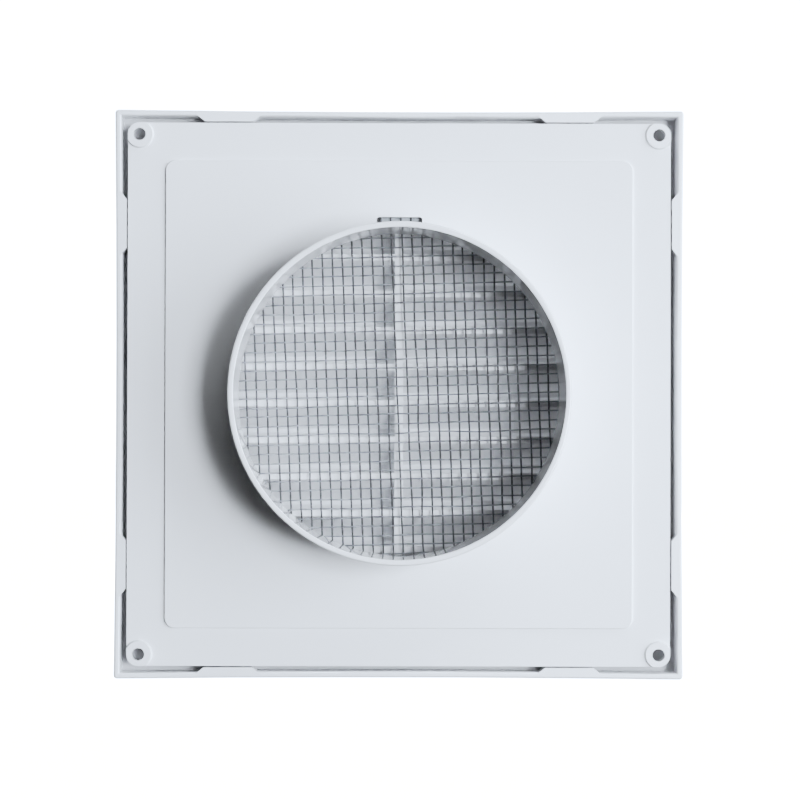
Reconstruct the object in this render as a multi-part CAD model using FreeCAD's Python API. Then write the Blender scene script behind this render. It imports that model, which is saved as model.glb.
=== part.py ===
import FreeCAD, Part
import math
import os

# Outdoor wall grille: a base plate with a round duct spigot, a woven insect screen and a
# louvred cover that clips over the plate.
#
# Frame, in millimetres: +Z is up as installed, +Y points into the wall along the duct, and
# the origin is on the duct axis in the wall plane. The louvres face -Y, to the outdoors.

Vector = FreeCAD.Vector
TOLERANCE = 1e-6

# Louvre cover: outer shell, whose sides are moulded a little hollow between the corners
COVER_SIDE = 200.6
SIDE_BOW = 0.6
COVER_WALL = 2.1
COVER_REAR_Y = -0.6
COVER_FRONT_Y = -26.0
COVER_FACE_THICKNESS = 2.4
COVER_CORNER_RADIUS = 1.1
COVER_EDGE_RADIUS = 1.0
RIM_EDGE_RADIUS = 0.7

# Louvre blades, counted from the lowest one up
BLADE_COUNT = 12
BLADE_PITCH = 12.95
TOP_BLADE_Z = 75.75
BLADE_REAR_Y = -5.2
BLADE_RUN = 18.0
BLADE_FALL = 7.9
BLADE_EDGE_RADIUS = 0.25
REAR_LIP_HEIGHT = 2.3
REAR_LIP_UPSTAND = 0.6
REAR_LIP_THICKNESS = 1.5
FRONT_LIP_HEIGHT = 1.5
FRONT_LIP_THICKNESS = 1.3
DRIP_NOSE_HEIGHT = 2.3
DRIP_NOSE_REACH = 1.3
DRIP_NOSE_THICKNESS = 1.2

# Window that the blades fill, and the collar that holds their ends
WINDOW_HALF_WIDTH = 78.5
WINDOW_TOP_GAP = 0.9
WINDOW_BOTTOM_GAP = 0.6
COLLAR_WALL = 1.8
FASCIA_SETBACK = 1.5
FASCIA_THICKNESS = 2.0

# Upright rib behind the middle of the blades
MULLION_WIDTH = 3.0
MULLION_SPINE_DEPTH = 3.0
MULLION_SETBACK = 3.0

# Clip pads inside the cover's rim, two to a side
PAD_OFFSET = 60.2
PAD_LENGTH = 17.0
PAD_TAPER = 2.5
PAD_DEPTH = 6.4
PAD_CLEARANCE = 0.5
PAD_LEAD_IN = 1.0

# Ledges that stiffen the cover's skirt, in front of the base plate's edge wall
LEDGE_THICKNESS = 1.8
LEDGE_INNER_SIDE = 174.0
LEDGE_CLEARANCE = 3.5

# Base plate
PLATE_SIDE = 191.6
PLATE_THICKNESS = 2.0
PANEL_SIDE = 165.0
PANEL_RISE = 1.0
PANEL_CORNER_RADIUS = 3.6
PANEL_EDGE_RADIUS = 0.4
PLATE_WALL_DEPTH = 4.0
PLATE_WALL_THICKNESS = 1.4

# Screw bosses at the plate's corners
SCREW_SPACING = 183.4
SCREW_HOLE_RADIUS = 2.2
BOSS_TOP_RADIUS = 4.5
BOSS_FOOT_RADIUS = 5.0

# Duct spigot
SPIGOT_OUTER_RADIUS = 58.6
SPIGOT_WALL = 2.0
SPIGOT_LENGTH = 35.0
SPIGOT_END_OUTER_RADIUS = 0.7
SPIGOT_END_INNER_RADIUS = 0.4
SPIGOT_FOOT_RADIUS = 0.6

# Slot in the panel above the spigot, behind the screen's top edge
SLOT_WIDTH = 16.0
SLOT_TOP_Z = 62.6
SLOT_CORNER_RADIUS = 0.8

# Woven insect screen
WARP_DIAMETER = 0.6
WEFT_DIAMETER = 0.5
WIRE_LAYER_GAP = 0.05
SCREEN_HALF_SIDE = 67.0
SCREEN_TOP_Z = 63.0
SCREEN_CLEARANCE = 0.15
WARP_PITCH = 3.56
WARP_OFFSET = 0.46
WARP_LEAN = 2.3
WARP_EACH_SIDE = 18
WEFT_PITCH = 3.28
WEFT_OFFSET = -0.41
WEFT_LEAN = 1.5
WEFT_LOWEST = -20
WEFT_HIGHEST = 18

# What holds the screen on the plate's front: staked pegs, and one catch behind the slot
PEG_RADIUS = 1.0
PEG_HEAD_RADIUS = 2.6
PEG_HEAD_HEIGHT = 0.8
PEG_OPENINGS = [(-18, 17), (17, 17), (-18, 0), (17, 0), (-18, -18), (17, -18), (0, -18)]
CATCH_WIDTH = 14.0
CATCH_THICKNESS = 1.2
CATCH_LIP_Z = 57.5
CATCH_TOP_Z = 69.4
CATCH_STEM = 1.8

# Sizes and levels that follow from those above: the plate's corners are round about its screws
PLATE_CORNER_RADIUS = (PLATE_SIDE - SCREW_SPACING) / 2
PLATE_REAR_Y = -PANEL_RISE
PLATE_FRONT_Y = PLATE_REAR_Y - PLATE_THICKNESS
PANEL_FRONT_Y = -PLATE_THICKNESS
SPIGOT_INNER_RADIUS = SPIGOT_OUTER_RADIUS - SPIGOT_WALL
SPIGOT_FOOT_OUTER_RADIUS = SPIGOT_OUTER_RADIUS + SPIGOT_FOOT_RADIUS
WARP_Y = PANEL_FRONT_Y - SCREEN_CLEARANCE - WARP_DIAMETER / 2
WEFT_Y = WARP_Y - (WARP_DIAMETER + WEFT_DIAMETER) / 2 - WIRE_LAYER_GAP
SCREEN_FRONT_Y = WEFT_Y - WEFT_DIAMETER / 2
BLADE_LIP_Y = BLADE_REAR_Y - BLADE_RUN
BLADE_FACE_Y = BLADE_LIP_Y - FRONT_LIP_THICKNESS
BLADE_DROP = REAR_LIP_HEIGHT + BLADE_FALL + FRONT_LIP_HEIGHT + DRIP_NOSE_HEIGHT
BOTTOM_BLADE_Z = TOP_BLADE_Z - BLADE_PITCH * (BLADE_COUNT - 1)
WINDOW_TOP_Z = TOP_BLADE_Z + WINDOW_TOP_GAP
WINDOW_BOTTOM_Z = BOTTOM_BLADE_Z - BLADE_DROP - WINDOW_BOTTOM_GAP


def block(half_width, low_z, high_z, front_y, rear_y, radius=0.0):
    """A block between two Y planes, with its four corners rounded in front view."""
    shape = Part.makeBox(
        2 * half_width, rear_y - front_y, high_z - low_z, Vector(-half_width, front_y, low_z)
    )
    if radius:
        corners = [edge for edge in shape.Edges if edge.BoundBox.YLength > TOLERANCE]
        shape = shape.makeFillet(radius, corners)
    return shape


def square_block(side, front_y, rear_y, radius=0.0):
    """A square block centred on the duct axis."""
    return block(side / 2, -side / 2, side / 2, front_y, rear_y, radius)


def bowed_block(side, front_y, rear_y, radius=0.0):
    """A square block whose four sides are hollow arcs, with its corners rounded in front view."""
    half = side / 2
    turns = [(-1, -1), (1, -1), (1, 1), (-1, 1)]
    corners = [Vector(half * x, front_y, half * z) for x, z in turns]
    sides = []
    for corner, following in zip(corners, corners[1:] + corners[:1]):
        middle = (corner + following) / 2
        hollow = Vector(middle.x, 0, middle.z) * (SIDE_BOW / half)
        sides.append(Part.Arc(corner, middle - hollow, following).toShape())
    shape = Part.Face(Part.Wire(sides)).extrude(Vector(0, rear_y - front_y, 0))
    if radius:
        upright = [edge for edge in shape.Edges if edge.BoundBox.YLength > 1]
        shape = shape.makeFillet(radius, upright)
    return shape


def edges_in_plane(shape, y):
    """The edges that lie in one Y plane."""
    return [
        edge
        for edge in shape.Edges
        if abs(edge.BoundBox.YMin - y) < TOLERANCE and abs(edge.BoundBox.YMax - y) < TOLERANCE
    ]


def cylinder(radius, front_y, rear_y, x=0.0, z=0.0):
    """A cylinder along Y."""
    return Part.makeCylinder(radius, rear_y - front_y, Vector(x, front_y, z), Vector(0, 1, 0))


def cover_frame():
    """The cover's skirt, face border, the collar round its window and the fascia at its head."""
    inner_side = COVER_SIDE - 2 * COVER_WALL
    face_inside_y = COVER_FRONT_Y + COVER_FACE_THICKNESS
    shell = bowed_block(COVER_SIDE, COVER_FRONT_Y, COVER_REAR_Y, COVER_CORNER_RADIUS)
    shell = shell.makeFillet(COVER_EDGE_RADIUS, edges_in_plane(shell, COVER_FRONT_Y))
    shell = shell.cut(bowed_block(inner_side, face_inside_y, COVER_REAR_Y))
    shell = shell.makeFillet(RIM_EDGE_RADIUS, edges_in_plane(shell, COVER_REAR_Y))
    collar = block(
        WINDOW_HALF_WIDTH + COLLAR_WALL,
        WINDOW_BOTTOM_Z - COLLAR_WALL,
        WINDOW_TOP_Z + COLLAR_WALL,
        face_inside_y,
        BLADE_REAR_Y,
    )
    fascia_y = COVER_FRONT_Y + FASCIA_SETBACK
    fascia = block(
        WINDOW_HALF_WIDTH + COLLAR_WALL,
        WINDOW_TOP_Z,
        COLLAR_WALL - WINDOW_BOTTOM_Z,
        fascia_y,
        fascia_y + FASCIA_THICKNESS,
    )
    window = block(
        WINDOW_HALF_WIDTH, WINDOW_BOTTOM_Z, WINDOW_TOP_Z, COVER_FRONT_Y - 1, BLADE_REAR_Y + 1
    )
    rebate = block(
        WINDOW_HALF_WIDTH, WINDOW_BOTTOM_Z, -WINDOW_BOTTOM_Z, COVER_FRONT_Y - 1, fascia_y
    )
    return shell.fuse([collar, fascia]).removeSplitter().cut([window, rebate])


def blade(top_z):
    """One louvre blade: a rear lip, a web that falls towards the front, and a lip with a drip nose."""
    slope = BLADE_FALL / BLADE_RUN
    web_foot_z = -REAR_LIP_HEIGHT - BLADE_FALL
    nose_top_z = web_foot_z - FRONT_LIP_HEIGHT
    nose_y = BLADE_LIP_Y - DRIP_NOSE_REACH
    lip_front_y = BLADE_REAR_Y - REAR_LIP_THICKNESS
    profile = [
        (BLADE_REAR_Y, 0.0),
        (BLADE_REAR_Y, -REAR_LIP_HEIGHT),
        (BLADE_LIP_Y, web_foot_z),
        (BLADE_LIP_Y, nose_top_z),
        (nose_y, -BLADE_DROP),
        (nose_y - DRIP_NOSE_THICKNESS, -BLADE_DROP),
        (BLADE_FACE_Y, nose_top_z),
        (BLADE_FACE_Y, -REAR_LIP_UPSTAND - slope * (BLADE_REAR_Y - BLADE_FACE_Y)),
        (lip_front_y, -REAR_LIP_UPSTAND - slope * REAR_LIP_THICKNESS),
        (lip_front_y, 0.0),
    ]
    points = [Vector(-WINDOW_HALF_WIDTH, y, top_z + z) for y, z in profile]
    outline = Part.makePolygon(points + points[:1])
    shape = Part.Face(outline).extrude(Vector(2 * WINDOW_HALF_WIDTH, 0, 0))
    long_edges = [edge for edge in shape.Edges if edge.BoundBox.XLength > WINDOW_HALF_WIDTH]
    return shape.makeFillet(BLADE_EDGE_RADIUS, long_edges)


def blades():
    """All blades, from the lowest up, each notched at the rear for the mullion's spine."""
    spine = block(
        MULLION_WIDTH / 2,
        WINDOW_BOTTOM_Z,
        WINDOW_TOP_Z,
        BLADE_REAR_Y - MULLION_SPINE_DEPTH,
        BLADE_REAR_Y + 1,
    )
    return [blade(BOTTOM_BLADE_Z + BLADE_PITCH * index).cut(spine) for index in range(BLADE_COUNT)]


def mullion(blade_shapes):
    """The upright rib: a spine at the rear and a web between each pair of blades."""
    rib = block(
        MULLION_WIDTH / 2,
        WINDOW_BOTTOM_Z,
        WINDOW_TOP_Z,
        BLADE_FACE_Y + MULLION_SETBACK,
        BLADE_REAR_Y,
    )
    for shape in blade_shapes:
        rib = rib.cut(shape)
    return rib


def cover_ledges(frame):
    """Four ledges, one along each side of the skirt; the upper and lower ones fill the corners."""
    outer = (COVER_SIDE - COVER_WALL - SIDE_BOW) / 2
    inner = LEDGE_INNER_SIDE / 2
    rear_y = PLATE_FRONT_Y - PLATE_WALL_DEPTH - LEDGE_CLEARANCE
    front_y = rear_y - LEDGE_THICKNESS
    upper = block(outer, inner, outer, front_y, rear_y)
    lower = block(outer, -outer, -inner, front_y, rear_y)
    side = block((outer - inner) / 2, -inner, inner, front_y, rear_y)
    reach = (outer + inner) / 2
    left = side.translated(Vector(-reach, 0, 0))
    right = side.translated(Vector(reach, 0, 0))
    return Part.makeCompound([ledge.cut(frame) for ledge in (lower, left, right, upper)])


def clip_pad(frame):
    """One pad on the top side of the rim, centred over the origin."""
    inner_z = PLATE_SIDE / 2 + PAD_CLEARANCE
    root_z = (COVER_SIDE - COVER_WALL - SIDE_BOW) / 2
    front_y = COVER_REAR_Y - PAD_DEPTH
    half_top = PAD_LENGTH / 2
    taper = PAD_TAPER * (root_z - inner_z) / (COVER_SIDE / 2 - COVER_WALL - inner_z)
    points = [
        Vector(-half_top, front_y, inner_z),
        Vector(half_top, front_y, inner_z),
        Vector(half_top + taper, front_y, root_z),
        Vector(-half_top - taper, front_y, root_z),
    ]
    outline = Part.makePolygon(points + points[:1])
    shape = Part.Face(outline).extrude(Vector(0, PAD_DEPTH, 0))
    lead_in = [
        edge
        for edge in edges_in_plane(shape, front_y)
        if abs(edge.BoundBox.ZMax - inner_z) < TOLERANCE
    ]
    return shape.makeChamfer(PAD_LEAD_IN, lead_in).cut(frame)


def clip_pads(frame):
    """Eight equal pads: two on each side of the rim."""
    pads = []
    for turn in range(4):
        for offset in (-PAD_OFFSET, PAD_OFFSET):
            pad = clip_pad(frame.translated(Vector(-offset, 0, 0)))
            pad.translate(Vector(offset, 0, 0))
            pad.rotate(Vector(0, 0, 0), Vector(0, 1, 0), 90.0 * turn)
            pads.append(pad)
    return Part.makeCompound(pads)


def slot(rear_y):
    """The slot above the bore, as a cutting block that reaches to one Y plane."""
    low_z = SPIGOT_INNER_RADIUS - 2 * SLOT_CORNER_RADIUS
    front_y = PANEL_FRONT_Y - 1
    return block(SLOT_WIDTH / 2, low_z, SLOT_TOP_Z, front_y, rear_y, SLOT_CORNER_RADIUS)


def base_plate():
    """The plate with its raised panel, turned-in edge wall, screw bosses, bore and slot."""
    plate = square_block(PLATE_SIDE, PLATE_FRONT_Y, PLATE_REAR_Y, PLATE_CORNER_RADIUS)
    panel = square_block(PANEL_SIDE, PLATE_FRONT_Y, 0.0, PANEL_CORNER_RADIUS)
    panel = panel.makeFillet(PANEL_EDGE_RADIUS, edges_in_plane(panel, 0.0))
    recess = square_block(PANEL_SIDE - 2 * PLATE_THICKNESS, PLATE_FRONT_Y, PANEL_FRONT_Y)
    wall_outside = square_block(
        PLATE_SIDE, PLATE_FRONT_Y - PLATE_WALL_DEPTH, PLATE_FRONT_Y, PLATE_CORNER_RADIUS
    )
    wall_inside = square_block(
        PLATE_SIDE - 2 * PLATE_WALL_THICKNESS,
        PLATE_FRONT_Y - PLATE_WALL_DEPTH,
        PLATE_FRONT_Y,
        PLATE_CORNER_RADIUS - PLATE_WALL_THICKNESS,
    )
    shape = plate.fuse([panel, wall_outside.cut(wall_inside)]).cut(recess)
    envelope = square_block(PLATE_SIDE, PLATE_REAR_Y, 0.0, PLATE_CORNER_RADIUS)
    half = SCREW_SPACING / 2
    corners = [(x, z) for x in (-half, half) for z in (-half, half)]
    for x, z in corners:
        boss = Part.makeCone(
            BOSS_FOOT_RADIUS, BOSS_TOP_RADIUS, PANEL_RISE, Vector(x, PLATE_REAR_Y, z), Vector(0, 1, 0)
        )
        shape = shape.fuse(boss.common(envelope))
    shape = shape.removeSplitter()
    for x, z in corners:
        shape = shape.cut(cylinder(SCREW_HOLE_RADIUS, PLATE_FRONT_Y - 1, 1, x, z))
    return shape.cut([cylinder(SPIGOT_FOOT_OUTER_RADIUS, PLATE_FRONT_Y - 1, 1), slot(1.0)])


def duct_spigot():
    """The round spigot, from the panel's front face to its end, with a small fillet at its foot."""
    outer = cylinder(SPIGOT_OUTER_RADIUS, PANEL_FRONT_Y, SPIGOT_LENGTH)
    outer = outer.makeFillet(SPIGOT_END_OUTER_RADIUS, edges_in_plane(outer, SPIGOT_LENGTH))
    foot = cylinder(SPIGOT_FOOT_OUTER_RADIUS, PANEL_FRONT_Y, SPIGOT_FOOT_RADIUS)
    hollow = Part.makeTorus(
        SPIGOT_FOOT_OUTER_RADIUS,
        SPIGOT_FOOT_RADIUS,
        Vector(0, SPIGOT_FOOT_RADIUS, 0),
        Vector(0, 1, 0),
    )
    bore = cylinder(SPIGOT_INNER_RADIUS, PANEL_FRONT_Y - 1, SPIGOT_LENGTH + 1)
    tube = outer.fuse(foot.cut(hollow)).removeSplitter().cut(bore)
    mouth = [
        edge
        for edge in edges_in_plane(tube, SPIGOT_LENGTH)
        if abs(edge.BoundBox.XMax - SPIGOT_INNER_RADIUS) < TOLERANCE
    ]
    tube = tube.makeFillet(SPIGOT_END_INNER_RADIUS, mouth)
    over_slot = block(
        SLOT_WIDTH / 2, SPIGOT_OUTER_RADIUS, SPIGOT_FOOT_OUTER_RADIUS + 1, -1.0, SPIGOT_FOOT_RADIUS + 1
    )
    return tube.cut([slot(0.0), over_slot])


def warp_wires():
    """The screen's upright wires."""
    wires = []
    for index in range(-WARP_EACH_SIDE, WARP_EACH_SIDE + 1):
        x = WARP_OFFSET + WARP_PITCH * index
        foot = Vector(x, WARP_Y, -SCREEN_HALF_SIDE)
        wires.append(Part.makeCylinder(WARP_DIAMETER / 2, SCREEN_TOP_Z + SCREEN_HALF_SIDE, foot))
    screen = Part.makeCompound(wires)
    screen.rotate(Vector(0, 0, 0), Vector(0, 1, 0), WARP_LEAN)
    return screen


def weft_wires():
    """The screen's crosswise wires, in front of the upright ones."""
    wires = []
    for index in range(WEFT_LOWEST, WEFT_HIGHEST + 1):
        z = WEFT_OFFSET + WEFT_PITCH * index
        start = Vector(-SCREEN_HALF_SIDE, WEFT_Y, z)
        wires.append(
            Part.makeCylinder(WEFT_DIAMETER / 2, 2 * SCREEN_HALF_SIDE, start, Vector(1, 0, 0))
        )
    screen = Part.makeCompound(wires)
    screen.rotate(Vector(0, 0, 0), Vector(0, 1, 0), WEFT_LEAN)
    return screen


def opening_centre(column, row):
    """The middle of one opening of the screen, counted from the wires nearest the axis."""
    warp = math.radians(WARP_LEAN)
    weft = math.radians(WEFT_LEAN)
    across = WARP_OFFSET + WARP_PITCH * (column + 0.5)
    up = WEFT_OFFSET + WEFT_PITCH * (row + 0.5)
    scale = math.cos(warp - weft)
    x = (across * math.cos(weft) + up * math.sin(warp)) / scale
    z = (up * math.cos(warp) - across * math.sin(weft)) / scale
    return x, z


def screen_pegs():
    """Pegs that pass through the screen, each with its end staked into a flat head."""
    pegs = []
    head_front_y = SCREEN_FRONT_Y - PEG_HEAD_HEIGHT
    for column, row in PEG_OPENINGS:
        x, z = opening_centre(column, row)
        head = cylinder(PEG_HEAD_RADIUS, head_front_y, SCREEN_FRONT_Y - WIRE_LAYER_GAP, x, z)
        head = head.makeFillet(PEG_HEAD_HEIGHT / 2, edges_in_plane(head, head_front_y))
        stem = cylinder(PEG_RADIUS, head_front_y + PEG_HEAD_HEIGHT / 2, PANEL_FRONT_Y, x, z)
        pegs.append(head.fuse(stem))
    return Part.makeCompound(pegs)


def screen_catch():
    """The hook that holds the screen's top edge, moulded through the slot."""
    lip_rear_y = SCREEN_FRONT_Y - WIRE_LAYER_GAP
    front_y = lip_rear_y - CATCH_THICKNESS
    lip = block(CATCH_WIDTH / 2, CATCH_LIP_Z, CATCH_TOP_Z, front_y, lip_rear_y)
    stem = block(CATCH_WIDTH / 2, CATCH_TOP_Z - CATCH_STEM, CATCH_TOP_Z, front_y, PANEL_FRONT_Y)
    return lip.fuse(stem).removeSplitter()


def save(name, shape):
    """Writes one node and prints what it holds."""
    if not shape.isValid():
        raise ValueError(name + " is not a valid shape")
    shape.exportStep("parts/" + name + ".step")
    print(name, len(shape.Solids), "solids,", round(shape.Volume), "mm3")


def main():
    os.makedirs("parts", exist_ok=True)
    save("base_plate", base_plate())
    save("duct_spigot", duct_spigot())
    save("screen_warp_wires", warp_wires())
    save("screen_weft_wires", weft_wires())
    save("screen_pegs", screen_pegs())
    save("screen_catch", screen_catch())
    frame = cover_frame()
    save("cover_frame", frame)
    blade_shapes = blades()
    for number, shape in enumerate(blade_shapes, start=1):
        save("louvre_blade_%02d" % number, shape)
    save("louvre_mullion", mullion(blade_shapes))
    save("cover_ledges", cover_ledges(frame))
    save("clip_pads", clip_pads(frame))


main()
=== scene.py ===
import math

import bpy
import numpy as np
from mathutils import Matrix, Vector


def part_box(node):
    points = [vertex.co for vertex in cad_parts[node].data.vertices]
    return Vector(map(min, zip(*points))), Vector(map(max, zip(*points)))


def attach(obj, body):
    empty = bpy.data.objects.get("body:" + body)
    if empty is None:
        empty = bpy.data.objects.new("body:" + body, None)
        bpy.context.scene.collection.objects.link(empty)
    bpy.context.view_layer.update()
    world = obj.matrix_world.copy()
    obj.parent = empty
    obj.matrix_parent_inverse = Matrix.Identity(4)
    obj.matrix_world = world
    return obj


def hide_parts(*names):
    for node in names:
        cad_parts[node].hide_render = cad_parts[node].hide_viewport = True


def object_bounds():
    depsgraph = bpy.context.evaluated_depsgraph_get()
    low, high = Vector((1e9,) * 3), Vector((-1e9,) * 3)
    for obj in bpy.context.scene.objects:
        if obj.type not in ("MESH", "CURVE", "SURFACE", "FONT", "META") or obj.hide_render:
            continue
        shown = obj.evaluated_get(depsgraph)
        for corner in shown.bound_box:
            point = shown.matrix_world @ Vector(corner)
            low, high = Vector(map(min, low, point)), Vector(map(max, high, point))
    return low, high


# A square white wall grille seen from its duct side: base plate with a round spigot, woven wire
# screen, and the louvred cover behind it. Metres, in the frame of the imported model: +Z is up and
# +Y runs along the duct, away from the louvres.

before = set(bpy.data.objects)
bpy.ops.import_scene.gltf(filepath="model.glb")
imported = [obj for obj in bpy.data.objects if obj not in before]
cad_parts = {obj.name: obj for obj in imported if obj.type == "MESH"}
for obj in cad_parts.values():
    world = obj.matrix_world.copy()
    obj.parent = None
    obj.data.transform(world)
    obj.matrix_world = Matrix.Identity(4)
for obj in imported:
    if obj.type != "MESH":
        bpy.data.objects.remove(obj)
cad_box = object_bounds()

MM = 0.001

# Camera: nearly square on to the duct side, from a little under a metre away
CAMERA_PLACE = Vector((5.8 * MM, 944.6 * MM, -10.2 * MM))
CAMERA_YAW = math.radians(-0.373)
CAMERA_PITCH = math.radians(0.501)
CAMERA_ROLL = math.radians(-0.141)
CAMERA_LENS = 120.6
CAMERA_SENSOR = 36.0
CAMERA_NEAR = 0.01
CAMERA_FAR = 50.0

# Lights: place, width, height and power. A tall window-like key stands on the camera's right with
# a dimmer wall of light beyond it, one stands overhead, one lights the louvres' side, and a fill
# on the camera's left lights the skirt there without reaching the plate's rear.
LIGHTS = {
    "key": (Vector((-0.93, 2.40, 0.02)), 0.62, 0.8, 38.0),
    "wall": (Vector((-1.90, 1.25, 0.0)), 1.8, 1.8, 42.0),
    "top": (Vector((-0.84, 0.79, 1.99)), 1.5, 1.5, 17.0),
    "front": (Vector((0.0, -1.60, 0.90)), 1.4, 1.4, 14.0),
    "fill": (Vector((2.0, -0.90, 1.0)), 1.4, 1.4, 24.0),
}

# Surround: AMBIENT is its strength as a light, BACKDROP what the camera sees of it
WHITE = (1.0, 1.0, 1.0, 1.0)
AMBIENT = 0.02
BACKDROP = 2.6

# Floor: its own light is for the camera alone, and it lies just below the grille
FLOOR_GLOW = 2.5
FLOOR_COLOUR = (0.8, 0.8, 0.8, 1.0)
FLOOR_HALF_SIDE = 6.0
FLOOR_GAP = 0.5 * MM

# Light bounces, enough for the white hollows between the blades and round the plate
MAX_BOUNCES = 20
DIFFUSE_BOUNCES = 16

# Film response: light in the scene to brightness in the picture, which rolls off towards white,
# and the tint of each colour channel
TONE_POINTS = (
    (0.0, 0.0),
    (0.03, 0.03),
    (0.06, 0.072),
    (0.10, 0.125),
    (0.15, 0.20),
    (0.20, 0.285),
    (0.30, 0.44),
    (0.40, 0.535),
    (0.60, 0.635),
    (0.80, 0.71),
    (1.00, 0.765),
    (1.30, 0.84),
    (2.00, 0.94),
    (2.50, 1.0),
)
TONE_TINT = (0.962, 1.0, 1.047)

# Woven screen, as in the CAD model
WIRE_SIDES = 8
STEPS_PER_CROSSING = 6
WARP_PITCH = 3.56 * MM
WARP_OFFSET = 0.46 * MM
WARP_LEAN = math.radians(2.3)
WARP_EACH_SIDE = 18
WEFT_PITCH = 3.28 * MM
WEFT_OFFSET = -0.41 * MM
WEFT_LEAN = math.radians(1.5)
SCREEN_HALF_SIDE = 67.0 * MM
SCREEN_TOP = 63.0 * MM
WEFT_LOWEST = -20
WEFT_HIGHEST = 18
WOBBLE = 0.07 * MM
WOBBLE_SPANS = (20.0 * MM, 50.0 * MM)
WOBBLE_SEED = 11
WIRE_NODES = ("screen_warp_wires", "screen_weft_wires")

# Plastics: light and shade of the colour drift, lowest and highest roughness, and strength of the
# grain. The spigot is glossy enough to mirror the screen. The catch and the ledges are greyer as
# painted shade: the shade in the slot the catch is seen through and in the deep gap round the
# plate.
PLASTICS = {
    "base_plastic": ((0.895, 0.90, 0.907, 1.0), (0.885, 0.891, 0.899, 1.0), 0.40, 0.48, 0.25),
    "spigot_plastic": ((0.895, 0.90, 0.907, 1.0), (0.885, 0.891, 0.899, 1.0), 0.04, 0.07, 0.02),
    "cover_plastic": ((0.90, 0.905, 0.912, 1.0), (0.89, 0.896, 0.904, 1.0), 0.34, 0.42, 0.18),
    # The catch's grey is painted shade, for the shade in the slot that it is seen through
    "catch_painted_shade_plastic": ((0.43, 0.45, 0.47, 1.0), (0.37, 0.39, 0.41, 1.0), 0.40, 0.48, 0.25),
    # The ledges' grey is painted shade, for the deep gap between the plate and the rim
    "ledge_painted_shade_plastic": ((0.69, 0.695, 0.705, 1.0), (0.65, 0.657, 0.668, 1.0), 0.40, 0.48, 0.18),
}
COVER_PLASTIC = "cover_plastic"
OTHER_PLASTICS = {
    "base_plate": "base_plastic",
    "screen_pegs": "base_plastic",
    "duct_spigot": "spigot_plastic",
    # The catch and the ledges take the greyer plastics, whose grey is painted shade
    "screen_catch": "catch_painted_shade_plastic",
    "cover_ledges": "ledge_painted_shade_plastic",
}
PLASTIC_IOR = 1.50

# Wires: shade and light of the oxide streaks. The crosswise wires are lighter than the upright ones
# as a painted highlight, for the glints that they catch.
WARP_COLOURS = ((0.082, 0.086, 0.094, 1.0), (0.165, 0.171, 0.182, 1.0))
WEFT_COLOURS_WITH_PAINTED_HIGHLIGHT = ((0.24, 0.252, 0.27, 1.0), (0.41, 0.427, 0.45, 1.0))
WIRE_METALLIC = 0.25
WIRE_ROUGHNESS = (0.34, 0.55)

# Noise textures: features per metre, detail and roughness
COLOUR_DRIFT = (14.0, 3.0, 0.5)
GLOSS_PATCHES = (60.0, 4.0, 0.5)
MOULDING_WAVES = (45.0, 1.0, 0.5)
PLASTIC_GRAIN = (3200.0, 2.0, 0.6)
WIRE_OXIDE = (260.0, 5.0, 0.6)
WIRE_MARKS = (5200.0, 2.0, 0.5)

# The part of a texture's range that colours or values are spread over
COLOUR_DRIFT_SPAN = (0.35, 0.65)
WIRE_OXIDE_SPAN = (0.35, 0.7)
VALUE_SPAN = (0.3, 0.7)

# Bumps: strength and depth; the strength of each plastic's grain is in PLASTICS
MOULDING_WAVE_BUMP = (0.10, 0.2 * MM)
WIRE_MARK_BUMP = (0.25, 0.01 * MM)
PLASTIC_GRAIN_DEPTH = 0.02 * MM


def make_camera():
    """The camera, aimed along -Y and then turned by its small yaw, pitch and roll."""
    data = bpy.data.cameras.new("camera")
    data.lens = CAMERA_LENS
    data.sensor_width = CAMERA_SENSOR
    data.clip_start = CAMERA_NEAR
    data.clip_end = CAMERA_FAR
    camera = bpy.data.objects.new("camera", data)
    bpy.context.scene.collection.objects.link(camera)
    right = Vector((-1, 0, 0))
    up = Vector((0, 0, 1))
    turn = Matrix.Rotation(CAMERA_YAW, 3, up) @ Matrix.Rotation(CAMERA_PITCH, 3, right)
    ahead = turn @ Vector((0, -1, 0))
    roll = Matrix.Rotation(CAMERA_ROLL, 3, ahead)
    right = roll @ turn @ right
    up = roll @ turn @ up
    axes = Matrix((right, up, -ahead)).transposed()
    camera.matrix_world = Matrix.Translation(CAMERA_PLACE) @ axes.to_4x4()
    bpy.context.scene.camera = camera


def make_lights():
    """Soft rectangular lights, each turned towards the middle of the grille."""
    for name, (place, width, height, power) in LIGHTS.items():
        data = bpy.data.lights.new(name, "AREA")
        data.shape = "RECTANGLE"
        data.size = width
        data.size_y = height
        data.energy = power
        light = bpy.data.objects.new(name, data)
        light.location = place
        light.rotation_euler = (-place).to_track_quat("-Z", "Y").to_euler()
        bpy.context.scene.collection.objects.link(light)


def let_light_bounce():
    """Lets light bounce more often than it does by default."""
    cycles = bpy.context.scene.cycles
    cycles.max_bounces = MAX_BOUNCES
    cycles.diffuse_bounces = DIFFUSE_BOUNCES


def set_film_response():
    """A soft highlight roll-off with a slightly cool white, on top of plain sRGB."""
    settings = bpy.context.scene.view_settings
    settings.view_transform = "Standard"
    settings.use_curve_mapping = True
    mapping = settings.curve_mapping
    brightest = TONE_POINTS[-1][0]
    mapping.white_level = (brightest, brightest, brightest)
    for channel, tint in enumerate(TONE_TINT):
        points = mapping.curves[channel].points
        for light, shown in TONE_POINTS[1:-1]:
            points.new(light / brightest, min(shown * tint, 1.0))
    mapping.update()


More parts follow.
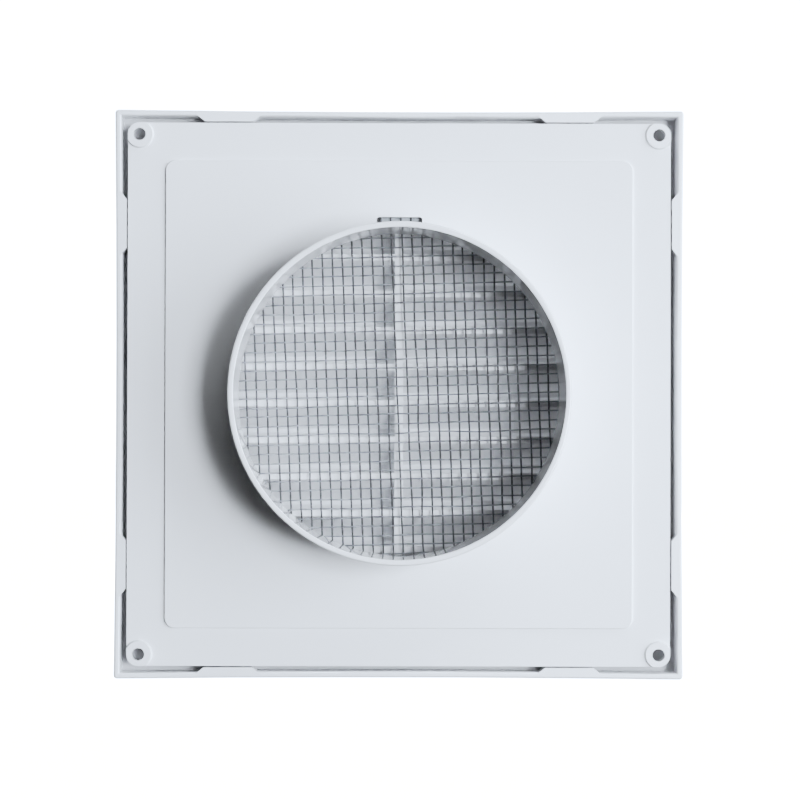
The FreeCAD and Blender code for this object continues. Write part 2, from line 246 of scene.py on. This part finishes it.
def make_world():
    """A white surround: full white where the camera sees it, dim where it lights the object."""
    world = bpy.data.worlds.new("surround")
    bpy.context.scene.world = world
    world.use_nodes = True
    nodes = world.node_tree.nodes
    links = world.node_tree.links
    nodes.clear()
    output = nodes.new("ShaderNodeOutputWorld")
    mix = nodes.new("ShaderNodeMixShader")
    path = nodes.new("ShaderNodeLightPath")
    ambient = nodes.new("ShaderNodeBackground")
    ambient.inputs["Color"].default_value = WHITE
    ambient.inputs["Strength"].default_value = AMBIENT
    seen = nodes.new("ShaderNodeBackground")
    seen.inputs["Color"].default_value = WHITE
    seen.inputs["Strength"].default_value = BACKDROP
    links.new(path.outputs["Is Camera Ray"], mix.inputs["Fac"])
    links.new(ambient.outputs["Background"], mix.inputs[1])
    links.new(seen.outputs["Background"], mix.inputs[2])
    links.new(mix.outputs["Shader"], output.inputs["Surface"])


def make_floor():
    """A pale floor under the grille that the camera sees as white and that lets light through."""
    half = FLOOR_HALF_SIDE
    z = cad_box[0].z - FLOOR_GAP
    mesh = bpy.data.meshes.new("floor")
    corners = [(-half, -half, z), (half, -half, z), (half, half, z), (-half, half, z)]
    mesh.from_pydata(corners, [], [(0, 1, 2, 3)])
    floor = bpy.data.objects.new("floor", mesh)
    bpy.context.scene.collection.objects.link(floor)
    material = bpy.data.materials.new("floor_paper")
    material.use_nodes = True
    nodes = material.node_tree.nodes
    links = material.node_tree.links
    nodes.clear()
    output = nodes.new("ShaderNodeOutputMaterial")
    mix = nodes.new("ShaderNodeMixShader")
    path = nodes.new("ShaderNodeLightPath")
    clear = nodes.new("ShaderNodeBsdfTransparent")
    paper = nodes.new("ShaderNodeAddShader")
    surface = nodes.new("ShaderNodeBsdfDiffuse")
    surface.inputs["Color"].default_value = FLOOR_COLOUR
    glow = nodes.new("ShaderNodeEmission")
    glow.inputs["Strength"].default_value = FLOOR_GLOW
    links.new(surface.outputs["BSDF"], paper.inputs[0])
    links.new(glow.outputs["Emission"], paper.inputs[1])
    links.new(path.outputs["Is Camera Ray"], mix.inputs["Fac"])
    links.new(clear.outputs["BSDF"], mix.inputs[1])
    links.new(paper.outputs["Shader"], mix.inputs[2])
    links.new(mix.outputs["Shader"], output.inputs["Surface"])
    mesh.materials.append(material)


def add_noise(tree, scale, detail, roughness):
    """A noise texture in object space, with its scale in features per metre."""
    coordinates = tree.nodes.new("ShaderNodeTexCoord")
    noise = tree.nodes.new("ShaderNodeTexNoise")
    noise.inputs["Scale"].default_value = scale
    noise.inputs["Detail"].default_value = detail
    noise.inputs["Roughness"].default_value = roughness
    tree.links.new(coordinates.outputs["Object"], noise.inputs["Vector"])
    return noise


def add_ramp(tree, source, low, high, low_colour, high_colour):
    """A colour ramp over part of a texture's range."""
    ramp = tree.nodes.new("ShaderNodeValToRGB")
    ramp.color_ramp.elements[0].position = low
    ramp.color_ramp.elements[0].color = low_colour
    ramp.color_ramp.elements[1].position = high
    ramp.color_ramp.elements[1].color = high_colour
    tree.links.new(source, ramp.inputs["Fac"])
    return ramp


def add_range(tree, source, low, high):
    """Maps the middle of a texture's range onto a range of values."""
    mapped = tree.nodes.new("ShaderNodeMapRange")
    mapped.inputs["From Min"].default_value = VALUE_SPAN[0]
    mapped.inputs["From Max"].default_value = VALUE_SPAN[1]
    mapped.inputs["To Min"].default_value = low
    mapped.inputs["To Max"].default_value = high
    tree.links.new(source, mapped.inputs["Value"])
    return mapped


def add_bump(tree, height, strength, distance, before=None):
    """A bump, on top of an earlier one if there is one."""
    bump = tree.nodes.new("ShaderNodeBump")
    bump.inputs["Strength"].default_value = strength
    bump.inputs["Distance"].default_value = distance
    tree.links.new(height, bump.inputs["Height"])
    if before:
        tree.links.new(before.outputs["Normal"], bump.inputs["Normal"])
    return bump


def new_material(name):
    """An empty node material and its principled shader."""
    material = bpy.data.materials.new(name)
    material.use_nodes = True
    return material, material.node_tree, material.node_tree.nodes["Principled BSDF"]


def make_plastic(name, light, shade, gloss_low, gloss_high, grain):
    """Moulded plastic: a faint colour drift, fine grain, and a slow waviness from moulding."""
    material, tree, shader = new_material(name)
    drift = add_noise(tree, *COLOUR_DRIFT)
    tint = add_ramp(tree, drift.outputs["Fac"], *COLOUR_DRIFT_SPAN, shade, light)
    tree.links.new(tint.outputs["Color"], shader.inputs["Base Color"])
    patches = add_noise(tree, *GLOSS_PATCHES)
    gloss = add_range(tree, patches.outputs["Fac"], gloss_low, gloss_high)
    tree.links.new(gloss.outputs["Result"], shader.inputs["Roughness"])
    waves = add_noise(tree, *MOULDING_WAVES)
    slow = add_bump(tree, waves.outputs["Fac"], *MOULDING_WAVE_BUMP)
    sparkle = add_noise(tree, *PLASTIC_GRAIN)
    fine = add_bump(tree, sparkle.outputs["Fac"], grain, PLASTIC_GRAIN_DEPTH, slow)
    tree.links.new(fine.outputs["Normal"], shader.inputs["Normal"])
    shader.inputs["IOR"].default_value = PLASTIC_IOR
    return material


def make_wire(name, shade, light):
    """Dull grey wire with streaks of oxide and fine drawing marks."""
    material, tree, shader = new_material(name)
    oxide = add_noise(tree, *WIRE_OXIDE)
    tint = add_ramp(tree, oxide.outputs["Fac"], *WIRE_OXIDE_SPAN, shade, light)
    tree.links.new(tint.outputs["Color"], shader.inputs["Base Color"])
    dullness = add_range(tree, oxide.outputs["Fac"], *WIRE_ROUGHNESS)
    tree.links.new(dullness.outputs["Result"], shader.inputs["Roughness"])
    marks = add_noise(tree, *WIRE_MARKS)
    bump = add_bump(tree, marks.outputs["Fac"], *WIRE_MARK_BUMP)
    tree.links.new(bump.outputs["Normal"], shader.inputs["Normal"])
    shader.inputs["Metallic"].default_value = WIRE_METALLIC
    return material


def set_material(node_object, material):
    """Gives a CAD node one material in every slot."""
    slots = node_object.data.materials
    if not slots:
        slots.append(material)
    for index in range(len(slots)):
        slots[index] = material


def tube(centres, radius, side):
    """Vertices and faces of a round wire along its centre line."""
    centres = np.asarray(centres)
    tangents = np.gradient(centres, axis=0)
    tangents /= np.linalg.norm(tangents, axis=1)[:, None]
    across = np.cross(tangents, side)
    across /= np.linalg.norm(across, axis=1)[:, None]
    level = np.cross(across, tangents)
    angles = np.linspace(0, 2 * math.pi, WIRE_SIDES, endpoint=False)
    ring = np.cos(angles)[None, :, None] * level[:, None, :]
    ring = ring + np.sin(angles)[None, :, None] * across[:, None, :]
    points = centres[:, None, :] + radius * ring
    count = len(centres)
    faces = []
    for step in range(count - 1):
        for corner in range(WIRE_SIDES):
            following = (corner + 1) % WIRE_SIDES
            a = step * WIRE_SIDES
            b = a + WIRE_SIDES
            faces.append((a + corner, a + following, b + following, b + corner))
    faces.append(tuple(reversed(range(WIRE_SIDES))))
    last = (count - 1) * WIRE_SIDES
    faces.append(tuple(range(last, last + WIRE_SIDES)))
    return points.reshape(-1, 3), faces


def slow_wobble(random, length):
    """A small sideways drift along a wire: a level offset and two slow waves."""
    offset = random.normal(0, WOBBLE)
    waves = [
        (random.normal(0, WOBBLE), random.uniform(*WOBBLE_SPANS), random.uniform(0, 2 * math.pi))
        for _ in range(2)
    ]
    return offset + sum(
        size * np.sin(2 * math.pi * length / span + phase) for size, span, phase in waves
    )


def woven_wires(name, node, other_node, along, across, ends, spacing, crossing, phase):
    """One set of the screen's wires, each bent over and under the wires that it crosses."""
    low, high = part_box(node)
    other_low, other_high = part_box(other_node)
    radius = (high.y - low.y) / 2
    middle = (min(low.y, other_low.y) + max(high.y, other_high.y)) / 2
    height = (max(high.y, other_high.y) - min(low.y, other_low.y)) / 2 - radius
    pitch, offset, lowest, highest = spacing
    normal, other_pitch, other_offset = crossing
    steps = int((ends[1] - ends[0]) / other_pitch * STEPS_PER_CROSSING)
    run = np.linspace(ends[0], ends[1], steps)
    random = np.random.RandomState(WOBBLE_SEED + highest)
    vertices = []
    faces = []
    for index in range(lowest, highest + 1):
        sideways = offset + pitch * index + slow_wobble(random, run)
        centres = run[:, None] * along[None, :] + sideways[:, None] * across[None, :]
        crossings = (centres @ normal - other_offset) / other_pitch
        centres[:, 1] = middle + phase * height * np.cos(math.pi * (crossings + index))
        points, wire_faces = tube(centres, radius, across)
        start = len(vertices) * len(points)
        vertices.append(points)
        faces += [tuple(corner + start for corner in face) for face in wire_faces]
    mesh = bpy.data.meshes.new(name)
    mesh.from_pydata(np.concatenate(vertices).tolist(), [], faces)
    mesh.polygons.foreach_set("use_smooth", [len(face) < WIRE_SIDES for face in faces])
    piece = bpy.data.objects.new(name, mesh)
    bpy.context.scene.collection.objects.link(piece)
    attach(piece, "base")
    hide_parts(node)
    return piece


def make_screen():
    """The plain-woven insect screen; its upright wires are the thicker ones, its crosswise wires
    lighter as a painted highlight.
    """
    warp_along = np.array((math.sin(WARP_LEAN), 0.0, math.cos(WARP_LEAN)))
    warp_across = np.array((math.cos(WARP_LEAN), 0.0, -math.sin(WARP_LEAN)))
    weft_along = np.array((math.cos(WEFT_LEAN), 0.0, -math.sin(WEFT_LEAN)))
    weft_across = np.array((math.sin(WEFT_LEAN), 0.0, math.cos(WEFT_LEAN)))
    warp = woven_wires(
        "screen_warp_weave", "screen_warp_wires", "screen_weft_wires", warp_along, warp_across,
        (-SCREEN_HALF_SIDE, SCREEN_TOP), (WARP_PITCH, WARP_OFFSET, -WARP_EACH_SIDE, WARP_EACH_SIDE),
        (weft_across, WEFT_PITCH, WEFT_OFFSET), 1.0,
    )
    weft = woven_wires(
        "screen_weft_weave", "screen_weft_wires", "screen_warp_wires", weft_along, weft_across,
        (-SCREEN_HALF_SIDE, SCREEN_HALF_SIDE), (WEFT_PITCH, WEFT_OFFSET, WEFT_LOWEST, WEFT_HIGHEST),
        (warp_across, WARP_PITCH, WARP_OFFSET), -1.0,
    )
    warp.data.materials.append(make_wire("warp_wire", *WARP_COLOURS))
    # The crosswise wires' lighter colours are a painted highlight
    weft.data.materials.append(make_wire("weft_wire", *WEFT_COLOURS_WITH_PAINTED_HIGHLIGHT))


def dress_cad_nodes():
    """Materials for the moulded parts, which keep their CAD shape."""
    plastics = {name: make_plastic(name, *look) for name, look in PLASTICS.items()}
    for name, node_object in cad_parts.items():
        if name not in WIRE_NODES:
            set_material(node_object, plastics[OTHER_PLASTICS.get(name, COVER_PLASTIC)])


make_camera()
make_lights()
let_light_bounce()
make_world()
make_floor()
dress_cad_nodes()
make_screen()
set_film_response()
